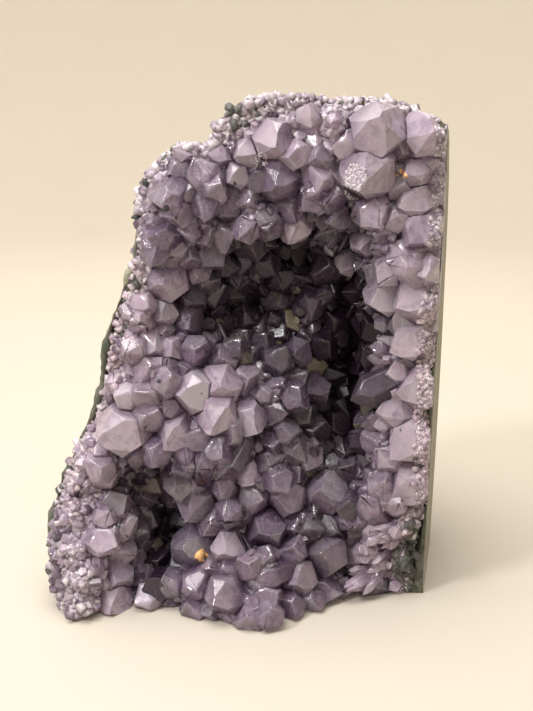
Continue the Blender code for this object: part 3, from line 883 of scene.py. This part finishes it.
def treeOfPieces(pieces):
    points, polygons, start = [], [], 0
    for piece in pieces:
        mesh = piece.data
        points.extend(tuple(corner.co) for corner in mesh.vertices)
        polygons.extend([index + start for index in face.vertices] for face in mesh.polygons)
        start = len(points)
    return BVHTree.FromPolygons(points, polygons)


# the second value is the width of the pale facet rim, partly a painted edge highlight
largeEdge = {"round": 0.12 * mm, "soft": 0.8 * mm}


def makeLarge(name, dice):
    # a large crystal: the frame's own, with rounded edges
    made = bmesh.new()
    made.from_mesh(nodes[name].data)
    bmesh.ops.remove_doubles(made, verts=made.verts, dist=0.01 * mm)
    bmesh.ops.dissolve_limit(made, angle_limit=math.radians(1.5), verts=made.verts, edges=made.edges)
    made.normal_update()
    corners, polygons, edges, facets = finishShape(made, largeEdge["round"], largeEdge["soft"])
    mesh = bpy.data.meshes.new(name)
    mesh.from_pydata(corners.tolist(), [], polygons)
    gaps = np.array([bedTree.find_nearest(corner)[3] for corner in corners])
    size = gaps.max() + 1e-9
    tip = corners[gaps.argmax()]
    count = len(mesh.vertices)
    look = largeLooks.get(name.replace("_crystal", ""), {})
    values = {
        "tone": look.get("tone", dice.uniform(0.25, 0.7)),
        "hollow": look.get("hollow", hollowShadeAt(tip, layerTree)),
        "white": look.get("white", zoneAt("white", tip)),
        "rose": zoneAt("rose", tip),
        "cream": look.get("cream", 0.0),
    }
    for key, value in values.items():
        store(mesh, key, np.full(count, value))
    store(mesh, "growth", np.clip(gaps / size, 0, 1))
    store(mesh, "edge", edges)
    # each facet gets a random value for painted light and shade
    shadeOfFacet = {facet: dice.random() for facet in dict.fromkeys(facets)}
    store(mesh, "facet", [shadeOfFacet[facet] for facet in facets], "FACE")
    material = crystalMaterials[lookOf(values)]
    return addPiece("large_" + name, mesh, material, [name])


def lookOf(values):
    # which of the crystal finishes suits these values
    # crystals deep in painted shade take the shaded copy, less clear and less shiny
    if values["hollow"] > lookFrom["deep"]:
        return "Deep"
    return "Pale" if values["white"] >= lookFrom["pale"] else ""


lookFrom = {"deep": 0.6, "pale": 0.45}

# tone runs from pale to lilac, white is milky, cream is a yellowish tint and the hollow value is how much
# painted shade it gets
largeLooks = {
    "crown": {"tone": 0.15, "white": 0.7},
    "top_right": {"tone": 0.1, "white": 0.9},
    "lantern": {"tone": 0.2, "white": 0.6},
    "window": {"tone": 0.05, "white": 0.95},
    "ridge": {"white": 1.0, "tone": 0.0},
    "brow": {"white": 0.8, "tone": 0.1, "hollow": 0.0},
    "brow_left": {"white": 0.7, "tone": 0.1, "hollow": 0.0},
    "eye": {"cream": 0.25, "white": 0.5, "tone": 0.3, "hollow": 0.0},
    "eye_inner": {"tone": 0.5, "white": 0.2, "hollow": 0.0},
    "dark": {"tone": 0.8, "hollow": 0.2},
    "hanging": {"tone": 0.2, "hollow": 0.0, "white": 0.7},
    "block": {"tone": 0.2, "white": 0.8, "hollow": 0.0},
    "block_top": {"tone": 0.3, "white": 0.6, "hollow": 0.0},
    "cheek": {"tone": 0.1, "white": 0.6, "hollow": 0.0},
    "cheek_inner": {"tone": 0.3, "white": 0.5, "hollow": 0.0},
    "cheek_low": {"tone": 0.2, "white": 0.5, "hollow": 0.0},
    "cheek_grey": {"tone": 0.5, "hollow": 0.2},
    "shoulder": {"tone": 0.2, "white": 0.5},
    "lilac": {"white": 1.0, "tone": 0.1, "hollow": 0.0},
    "rose": {"white": 1.0, "tone": 0.0, "hollow": 0.0},
    "rose_low": {"white": 0.9, "tone": 0.1, "hollow": 0.0},
    "pale": {"white": 1.0, "tone": 0.1, "hollow": 0.0},
    "glass": {"white": 0.95, "tone": 0.1, "hollow": 0.0},
    "bright": {"white": 0.7, "tone": 0.2, "hollow": 0.0},
    "hook": {"white": 0.5, "hollow": 0.0},
    "lip": {"white": 0.55, "tone": 0.3, "hollow": 0.0},
    "flake": {"white": 0.9, "tone": 0.2},
    "pale_lobe": {"white": 1.0, "tone": 0.1},
    "lobe": {"white": 0.5, "tone": 0.3, "hollow": 0.0},
    "lobe_foot": {"white": 0.9, "tone": 0.1, "hollow": 0.0},
    "cube": {"white": 1.0, "tone": 0.0, "hollow": 0.0},
    "pendant": {"tone": 0.3, "white": 0.4, "hollow": 0.0},
    "pendant_right": {"tone": 0.2, "white": 0.6, "hollow": 0.0},
    "pocket": {"tone": 0.4, "white": 0.3, "hollow": 0.0},
    "middle": {"tone": 0.6, "hollow": 0.2},
    "middle_grey": {"tone": 0.6, "hollow": 0.2},
    "middle_high": {"tone": 0.4, "cream": 0.7, "hollow": 0.15},
    "floor_violet": {"tone": 0.7, "hollow": 0.1},
    "floor_low": {"tone": 0.4, "cream": 0.3, "hollow": 0.1},
    "floor": {"tone": 0.4, "white": 0.3, "hollow": 0.0},
    "floor_left": {"tone": 0.4, "white": 0.2, "hollow": 0.0},
    "foot": {"tone": 0.1, "white": 0.4, "hollow": 0.0},
    "foot_left": {"tone": 0.1, "white": 0.3, "hollow": 0.0},
    "wall_low": {"tone": 0.0, "white": 1.0, "hollow": 0.0},
    "wall": {"tone": 0.2, "white": 0.6, "hollow": 0.0},
}

rockShape = {
    "edge": 1.7 * mm,
    "splits": 5,
    "smoothing": 4,
    "swell": 2.2 * mm,
    "swellSize": 24 * mm,
    "lump": 1.5 * mm,
    "lumpSize": 8 * mm,
    "grit": 0.45 * mm,
    "gritSize": 2.1 * mm,
    "calm": 2.5 * mm,  # the lumps fade out this near to a sawn face
}


def roughLayer(name, pieceName, material, look, seed):
    # a layer of the rock with its natural faces worn and lumpy, and its sawn faces left flat
    made = bmesh.new()
    made.from_mesh(nodes[name].data)
    bmesh.ops.remove_doubles(made, verts=made.verts, dist=0.01 * mm)
    for _ in range(look["splits"]):
        long = [edge for edge in made.edges if edge.calc_length() > look["edge"] * 1.6]
        if not long:
            break
        bmesh.ops.subdivide_edges(made, edges=long, cuts=1, use_grid_fill=True)
        bmesh.ops.triangulate(made, faces=[face for face in made.faces if len(face.verts) > 3])
    free = [corner for corner in made.verts
            if corner.co.x <= sawnSide - 0.02 * mm and corner.co.z >= 0.02 * mm]
    for _ in range(look["smoothing"]):
        bmesh.ops.smooth_vert(made, verts=free, factor=0.5, use_axis_x=True, use_axis_y=True, use_axis_z=True)
    made.normal_update()
    shift = Vector((seed * 3.1, seed * 1.7, seed * 0.9))
    for corner in free:
        spot = corner.co
        lump = noise.noise(spot / look["lumpSize"] + shift) * look["lump"]
        lump += noise.noise(spot / look["swellSize"] + shift) * look["swell"]
        grit = noise.noise(spot / look["gritSize"] + shift) * look["grit"]
        calm = min(1.0, (sawnSide - spot.x) / look["calm"], spot.z / look["calm"])
        corner.co += corner.normal * (lump + grit) * calm
        corner.co.x, corner.co.z = min(corner.co.x, sawnSide), max(corner.co.z, 0.0)
    mesh = bpy.data.meshes.new(pieceName)
    made.to_mesh(mesh)
    made.free()
    mesh.shade_smooth()
    mesh.set_sharp_from_angle(angle=math.radians(50))
    return addPiece(pieceName, mesh, material, [name])


def makeBed(material, tree):
    # the bed's own surface, seen between the crystals
    made = bmesh.new()
    made.from_mesh(nodes["amethyst_bed"].data)
    bmesh.ops.remove_doubles(made, verts=made.verts, dist=0.01 * mm)
    bmesh.ops.dissolve_limit(made, angle_limit=math.radians(1.0), verts=made.verts, edges=made.edges)
    mesh = bpy.data.meshes.new("amethystBed")
    made.to_mesh(mesh)
    made.free()
    points = np.empty(len(mesh.vertices) * 3)
    mesh.vertices.foreach_get("co", points)
    points = points.reshape(-1, 3)
    count = len(points)
    # growth 0.6 gives the bed part of the painted root shade
    for key, value in {"growth": 0.6, "tone": 0.5, "cream": 0.0}.items():
        store(mesh, key, np.full(count, value))
    # painted shade: the bed between the crystals is darker than the hollow value alone
    store(mesh, "hollow", [min(1.0, hollowShadeAt(point, tree) + 0.25) for point in points])
    store(mesh, "white", [0.8 * smooth(sugarWidth(point) - rimDistance(point), -2 * mm, 3 * mm)
                          for point in points])
    store(mesh, "rose", [zoneAt("rose", point) for point in points])
    store(mesh, "edge", np.zeros(len(mesh.polygons)), "FACE")
    store(mesh, "facet", np.full(len(mesh.polygons), 0.5), "FACE")
    return addPiece("amethystBed", mesh, material, ["amethyst_bed"])


# the studio

studio = {
    "target": (7.8 * mm, -12.4 * mm, 75 * mm),
    "azimuth": 12.0,
    "elevation": 18.0,
    "distance": 303 * mm,
    "lens": 52.15,
    "paper": (0.61, 0.55, 0.46),
    # painted shade: the paper is darker towards the front
    "paperFront": (0.465, 0.425, 0.365),
    "paperFlat": 0.55,
    "paperBend": 0.45,
    "paperHeight": 1.1,
    "sky": (1.0, 0.965, 0.93),
    "skyStrength": 1.08,
    "keyEnergy": 8.2,
    "keySize": 0.55,
    "keyPlace": (-0.07, -0.08, 0.84),
    "keyColour": (1.0, 0.97, 0.92),
    "fillEnergy": 1.0,
    "fillSize": 0.35,
    "fillPlace": (0.10, -0.70, 0.45),
    "fillColour": (1.0, 0.98, 0.95),
    "windowEnergy": 3.4,
    "windowSize": 0.12,
    "windowPlace": (-0.34, -0.40, 0.52),
    "windowColour": (1.0, 1.0, 1.0),
}


def aimAt(thing, target):
    away = thing.location - Vector(target)
    thing.rotation_euler = away.to_track_quat("Z", "Y").to_euler()


def addLight(kind):
    lamp = bpy.data.lights.new(kind + "Light", "AREA")
    lamp.size = studio[kind + "Size"]
    lamp.energy = studio[kind + "Energy"]
    lamp.color = studio[kind + "Colour"]
    light = bpy.data.objects.new(kind + "Light", lamp)
    bpy.context.scene.collection.objects.link(light)
    light.location = studio[kind + "Place"]
    light.visible_camera = False
    aimAt(light, studio["target"])


def makeStudio():
    look = studio
    turn, rise = math.radians(look["azimuth"]), math.radians(look["elevation"])
    away = Vector((math.sin(turn) * math.cos(rise), -math.cos(turn) * math.cos(rise), math.sin(rise)))
    lens = bpy.data.cameras.new("camera")
    lens.lens = look["lens"]
    lens.sensor_width = 36.0
    lens.clip_start = 5 * mm
    camera = bpy.data.objects.new("camera", lens)
    bpy.context.scene.collection.objects.link(camera)
    camera.location = Vector(look["target"]) + away * look["distance"]
    aimAt(camera, look["target"])
    bpy.context.scene.camera = camera
    for kind in ("key", "fill", "window"):
        addLight(kind)
    world = bpy.data.worlds.new("studioAir")
    world.use_nodes = True
    air = world.node_tree.nodes["Background"]
    air.inputs["Color"].default_value = (*look["sky"], 1.0)
    air.inputs["Strength"].default_value = look["skyStrength"]
    bpy.context.scene.world = world
    bpy.context.scene.view_settings.view_transform = "Standard"
    makePaper(look)


def makePaper(look):
    # a round sheet that is flat under the rock and curves up all round it
    steps, around = 16, 96
    flat, bend = look["paperFlat"], look["paperBend"]
    profile = [(flat, 0.0)]
    for step in range(1, steps + 1):
        turn = math.pi / 2 * step / steps
        profile.append((flat + bend * math.sin(turn), bend * (1 - math.cos(turn))))
    profile.append((flat + bend, look["paperHeight"]))
    made = bmesh.new()
    middle = made.verts.new((0, 0, 0))
    turns = [2 * math.pi * side / around for side in range(around)]
    rings = [[made.verts.new((radius * math.cos(turn), radius * math.sin(turn), height)) for turn in turns]
             for radius, height in profile]
    for side in range(around):
        after = (side + 1) % around
        made.faces.new((middle, rings[0][side], rings[0][after]))
        for inner, outer in zip(rings, rings[1:]):
            made.faces.new((inner[side], outer[side], outer[after], inner[after]))
    mesh = bpy.data.meshes.new("paper")
    made.to_mesh(mesh)
    made.free()
    mesh.shade_smooth()
    paper = bpy.data.objects.new("paper", mesh)
    bpy.context.scene.collection.objects.link(paper)
    paper.location.z = -0.02 * mm
    finish = Finish("backdropPaper", {"Roughness": 0.9, "Specular IOR Level": 0.1})
    # painted shade: darker towards the front of the paper
    colour = finish.mix(look["paperFront"], look["paper"], finish.axis("Y").between(-150 * mm, 450 * mm))
    finish.feed("Base Color", finish.tint(colour, (0.97, 0.97, 0.97), finish.noise(60 * mm, 3.0)))
    mesh.materials.append(finish.material)


makeStudio()
print("studio ready")
rockMaterial = rockFinish()
bedMaterial = amethystFinish("amethystGround", 0.0, 0.25)
crystalMaterials = {
    "": amethystFinish("amethystPoints", amethyst["clear"][0]),
    "Pale": amethystFinish("amethystPale", amethyst["clear"][1]),
    # a shaded copy, less clear and less shiny, for crystals deep in painted shade
    "Deep": amethystFinish("amethystDeep", amethyst["clear"][2], 0.12),
}
sugarMaterial = sugarFinish()
bandMaterial = bandFinish()
solidTree = treeOf(list(nodes))
layerTree = treeOf(layers)
bedTree = treeOf(["amethyst_bed"])
roughLayer("basalt_matrix", "basaltRind", rockMaterial, rockShape, 1)
quartzShape = dict(rockShape, edge=1.4 * mm, smoothing=1, swell=0.0, lump=0.5 * mm, lumpSize=4 * mm,
                   grit=0.35 * mm, gritSize=1.3 * mm)
roughLayer("quartz_layer", "quartzBand", bandMaterial, quartzShape, 2)
print("rock ready")
shown = [makeBed(bedMaterial, layerTree)]
largeDice = random.Random(3)
for crystalName in largeCrystals:
    shown.append(makeLarge(crystalName, largeDice))
print("large crystals ready")
shapes, rows = scatterBed(solidTree)
largeFrom = 6.5 * mm
parts = {"Large": [], "Small": [], "Pale": [], "Deep": []}
for row in rows:
    parts[lookOf(row[5]) or ("Large" if row[3] > largeFrom else "Small")].append(row)
for kind, chosen in parts.items():
    mesh = joinCrystals("bedCrystals" + kind, shapes, chosen)
    shown.append(addPiece(mesh.name, mesh, crystalMaterials.get(kind, crystalMaterials[""])))
shapes, rows = makeBlades(solidTree)
mesh = joinCrystals("footBlades", shapes, rows)
shown.append(addPiece("footBlades", mesh, crystalMaterials["Pale"]))
shapes, rows = scatterSugar(solidTree)
parts = {"Right": [], "Top": [], "Left": []}
for row in rows:
    tip = row[2]
    parts["Right" if tip[0] > 40 * mm else "Top" if tip[2] > 108 * mm else "Left"].append(row)
for kind, chosen in parts.items():
    mesh = joinCrystals("sugar" + kind, shapes, chosen)
    shown.append(addPiece(mesh.name, mesh, sugarMaterial))
shownTree = treeOfPieces(shown)
speckMaterial = flakeFinish("darkSpeck", (0.012, 0.013, 0.010), (0.045, 0.05, 0.03), 0.0, 0.35)
fleckMaterial = flakeFinish("goldenFleck", (0.62, 0.30, 0.10), (0.85, 0.55, 0.28), 0.25, 0.4)
makeGrains("darkSpecks", inclusions["darkSpecks"], shownTree, speckMaterial)
makeGrains("goldFlecks", inclusions["goldFlecks"], shownTree, fleckMaterial)
makeGrains("frostGrains", frostPlaces(), shownTree, sugarMaterial)
print("small crystals ready")
